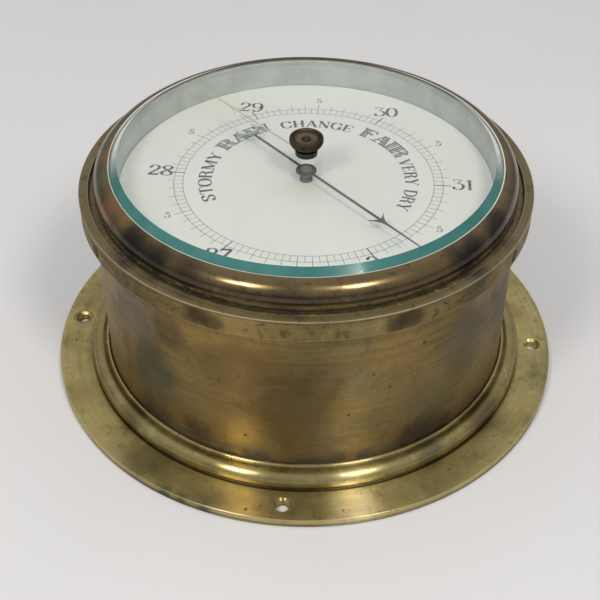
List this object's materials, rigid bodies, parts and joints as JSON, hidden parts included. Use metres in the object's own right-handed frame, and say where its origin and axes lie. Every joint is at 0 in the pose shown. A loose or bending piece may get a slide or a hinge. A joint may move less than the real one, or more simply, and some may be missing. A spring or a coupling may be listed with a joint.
{
  "type": "marine barometer",
  "caption": "Round brass bulkhead barometer: deep drum case on a drilled flange, bevelled glass with a set-hand knob, white dial with pointer, and an aneroid movement inside.",
  "frame": {"origin": "centre of the flange's back face, on the dial's axis", "axes": "+Z out through the dial, +Y to twelve o'clock, +X to three o'clock"},
  "size_m": [0.2046, 0.2046, 0.0995],
  "materials": {
    "flange_brass": "aged, lightly scratched",
    "drum_brass": "aged brown, brushed round the drum",
    "collar_brass": "aged, matt",
    "bezel_brass": "dark brown patina, glossy",
    "bright_brass": "turned, lacquered",
    "steel": "plain",
    "blued_steel": "blued",
    "silvered": "silvered, matt",
    "dial_enamel": "white, black figures",
    "glass": "bevelled plate",
    "knob_brass": "dark patina"
  },
  "bodies": {
    "case": {"mounting_flange": "flange_brass", "case_drum": "drum_brass", "case_collar": "collar_brass", "back_plate": "flange_brass", "back_plate_screws": "knob_brass", "bezel_ring": "bezel_brass", "bezel_screws": "bright_brass", "glass_pane": "glass", "glass_split_ring": "bright_brass", "glass_bush": "knob_brass", "dial_sleeve": "silvered", "dial_plate": "dial_enamel", "dial_bush": "steel", "dial_pillars": "bright_brass", "dial_pillar_screws": "steel", "movement_base": "bright_brass", "base_pillars": "bright_brass", "base_pillar_screws_front": "steel", "base_pillar_screws_back": "knob_brass", "capsule_lower_diaphragm": "silvered", "capsule_upper_diaphragm": "silvered", "capsule_stud": "bright_brass", "capsule_nut": "bright_brass", "main_spring": "blued_steel", "spring_carriage": "bright_brass", "spring_clamp_bar": "bright_brass", "spring_clamp_screws": "steel", "shaft_brackets": "bright_brass", "shaft_pivot_screws": "steel", "fusee_chain": "steel", "lower_bridge": "bright_brass", "lower_bridge_pillars": "bright_brass", "lower_bridge_screws": "steel", "upper_bridge": "bright_brass", "upper_bridge_pillars": "bright_brass", "upper_bridge_screws": "steel", "hairspring": "blued_steel", "hairspring_stud": "bright_brass"},
    "pointer_train": {"pointer_arbor": "steel", "pointer_collet": "steel", "pointer": "blued_steel"},
    "rocker": {"rocking_shaft": "steel"},
    "lever": {"main_lever": "steel", "compensating_strip": "bright_brass", "lever_screws": "steel"},
    "link": {"connecting_link": "steel"},
    "capsule_top": {"capsule_post": "bright_brass", "knife_edge_pin": "steel"},
    "adjuster": {"adjusting_screw": "bright_brass"},
    "setter": {"set_knob": "knob_brass", "set_spindle": "knob_brass", "set_hand": "bright_brass", "set_hand_screw": "bright_brass"}
  },
  "joints": [
    {"name": "pointer_turn", "type": "hinge", "parent": "case", "child": "pointer_train", "pos_m": [0, 0, 0.078], "axis": [0, 0, -1], "range_deg": [0, 315], "deforming": ["hairspring", "fusee_chain"]},
    {"name": "rocking_turn", "type": "hinge", "parent": "case", "child": "rocker", "pos_m": [0.0415, 0, 0.0421], "axis": [0, 1, 0], "range_deg": [0, 23.7]},
    {"name": "lever_tilt", "type": "hinge", "parent": "case", "child": "lever", "pos_m": [-0.04, 0, 0.0425], "axis": [0, 1, 0], "range_deg": [0, 0.82], "deforming": ["main_spring"]},
    {"name": "link_swing", "type": "hinge", "parent": "lever", "child": "link", "pos_m": [0.0445, 0, 0.0521], "axis": [0, 1, 0], "range_deg": [0, 1.37]},
    {"name": "capsule_breathe", "type": "slide", "parent": "case", "child": "capsule_top", "axis": [0, 0, -1], "range_m": [0, 0.000572], "deforming": ["capsule_upper_diaphragm"]},
    {"name": "set_hand_turn", "type": "hinge", "parent": "case", "child": "setter", "pos_m": [0, 0, 0.0955], "axis": [0, 0, 1], "continuous": true},
    {"name": "zero_adjust", "type": "hinge", "parent": "case", "child": "adjuster", "pos_m": [-0.0445, 0, 0.03], "axis": [0, 0, -1], "range_deg": [-180, 180]}
  ],
  "couplings": [
    {"joint": "rocking_turn", "follows": "pointer_turn", "ratio": 0.075238},
    {"joint": "lever_tilt", "follows": "pointer_turn", "ratio": 0.0026032},
    {"joint": "link_swing", "follows": "pointer_turn", "ratio": 0.0043492},
    {"joint": "capsule_breathe", "follows": "pointer_turn", "m_per_rad": 0.00010404}
  ]
}
